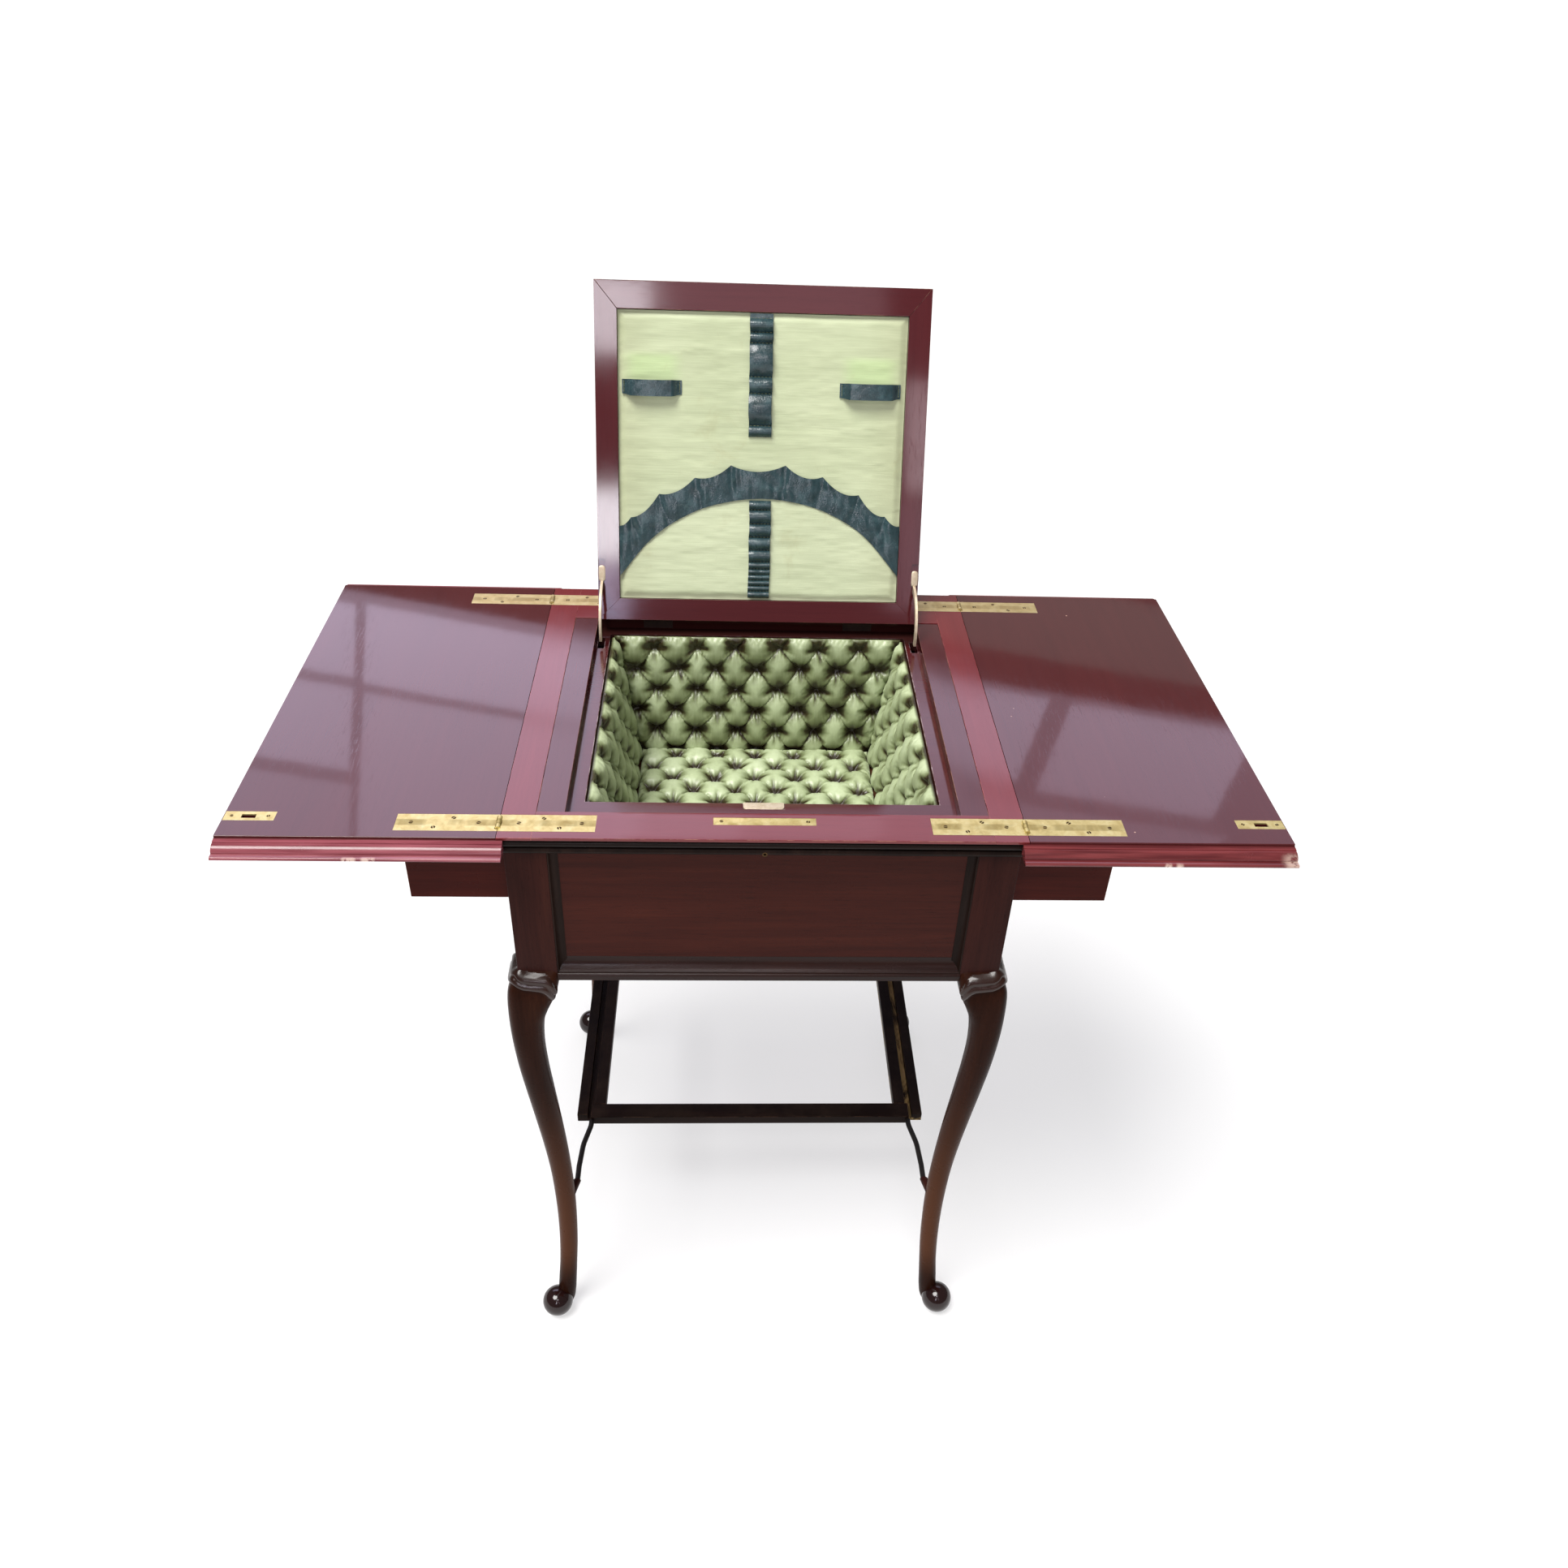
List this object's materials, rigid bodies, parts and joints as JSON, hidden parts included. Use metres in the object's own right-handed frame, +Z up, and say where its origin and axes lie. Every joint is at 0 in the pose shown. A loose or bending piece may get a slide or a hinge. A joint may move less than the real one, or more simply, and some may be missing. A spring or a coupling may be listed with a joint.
{
  "type": "work table",
  "caption": "Fold-over work table on cabriole legs with hinged top leaves on sliding lopers, a lined lid, a deep-buttoned sewing well and a low open stretcher frame.",
  "frame": {"origin": "on the floor under the middle of the case", "axes": "+X to the right as seen from the front, -Y towards the front, +Z up"},
  "size_m": [0.9294, 0.5274, 1.0529],
  "materials": {
    "mahogany": "polished, deep red-brown",
    "inner_wood": "plain, unpolished",
    "brass": "bright, lightly tarnished",
    "lock_steel": "dull",
    "black_iron": "black",
    "green_satin": "satin, sage green",
    "lid_silk": "silk, pale yellow-green",
    "dark_leather": "dark blue-green, worn"
  },
  "bodies": {
    "case": {"bottom_board": "inner_wood", "case_mouldings": "mahogany", "finger_plate": "brass", "hinge_pins": "brass", "hinge_plates_fixed": "brass", "iron_rod_left": "black_iron", "iron_rod_right": "black_iron", "keyhole_escutcheon": "brass", "leg_front_left": "mahogany", "leg_front_right": "mahogany", "leg_rear_left": "mahogany", "leg_rear_right": "mahogany", "lock_body": "lock_steel", "lock_plate": "brass", "loper_runners": "inner_wood", "pad_floor": "green_satin", "pad_front": "green_satin", "pad_left": "green_satin", "pad_rear": "green_satin", "pad_right": "green_satin", "panel_front": "mahogany", "panel_left": "mahogany", "panel_rear": "mahogany", "panel_right": "mahogany", "stretcher_front_bar": "mahogany", "stretcher_rear_bar": "mahogany", "stretcher_side_left": "mahogany", "stretcher_side_right": "mahogany", "top_rail_front": "mahogany", "top_rail_left": "mahogany", "top_rail_rear": "mahogany", "top_rail_right": "mahogany", "top_slips": "mahogany", "well_floor": "inner_wood", "well_rim": "mahogany", "well_wall_front": "inner_wood", "well_wall_left": "inner_wood", "well_wall_rear": "inner_wood", "well_wall_right": "inner_wood"},
    "leaf_left": {"leaf_board_left": "mahogany", "leaf_hinge_plates_left": "brass", "strike_plate_left": "brass"},
    "leaf_right": {"leaf_board_right": "mahogany", "leaf_hinge_plates_right": "brass", "strike_plate_right": "brass"},
    "lid": {"lid_hinge_plates": "brass", "lid_leather_band": "dark_leather", "lid_panel": "mahogany", "lid_rail_front": "mahogany", "lid_rail_rear": "mahogany", "lid_silk_pad": "lid_silk", "lid_stays": "brass", "lid_stile_left": "mahogany", "lid_stile_right": "mahogany", "lid_strap_loops": "dark_leather"},
    "loper_fl": {"loper_front_left": "mahogany"},
    "loper_fr": {"loper_front_right": "mahogany"},
    "loper_rl": {"loper_rear_left": "mahogany"},
    "loper_rr": {"loper_rear_right": "mahogany"},
    "bolt": {"lock_bolt": "lock_steel"}
  },
  "joints": [
    {"name": "leaf_left_hinge", "type": "hinge", "parent": "case", "child": "leaf_left", "pos_m": [-0.2298, 0, 0.725], "axis": [0, 1, 0], "range_deg": [0, 100]},
    {"name": "leaf_right_hinge", "type": "hinge", "parent": "case", "child": "leaf_right", "pos_m": [0.2298, 0, 0.725], "axis": [0, -1, 0], "range_deg": [0, 100]},
    {"name": "lid_hinge", "type": "hinge", "parent": "case", "child": "lid", "pos_m": [0, 0.15865, 0.725], "axis": [1, 0, 0], "range_deg": [0, 111]},
    {"name": "loper_fl_slide", "type": "slide", "parent": "case", "child": "loper_fl", "axis": [1, 0, 0], "range_m": [0, 0.09]},
    {"name": "loper_fr_slide", "type": "slide", "parent": "case", "child": "loper_fr", "axis": [-1, 0, 0], "range_m": [0, 0.09]},
    {"name": "loper_rl_slide", "type": "slide", "parent": "case", "child": "loper_rl", "axis": [1, 0, 0], "range_m": [0, 0.09]},
    {"name": "loper_rr_slide", "type": "slide", "parent": "case", "child": "loper_rr", "axis": [-1, 0, 0], "range_m": [0, 0.09]},
    {"name": "lock_bolt_slide", "type": "slide", "parent": "case", "child": "bolt", "axis": [1, 0, 0], "range_m": [0, 0.006]}
  ]
}
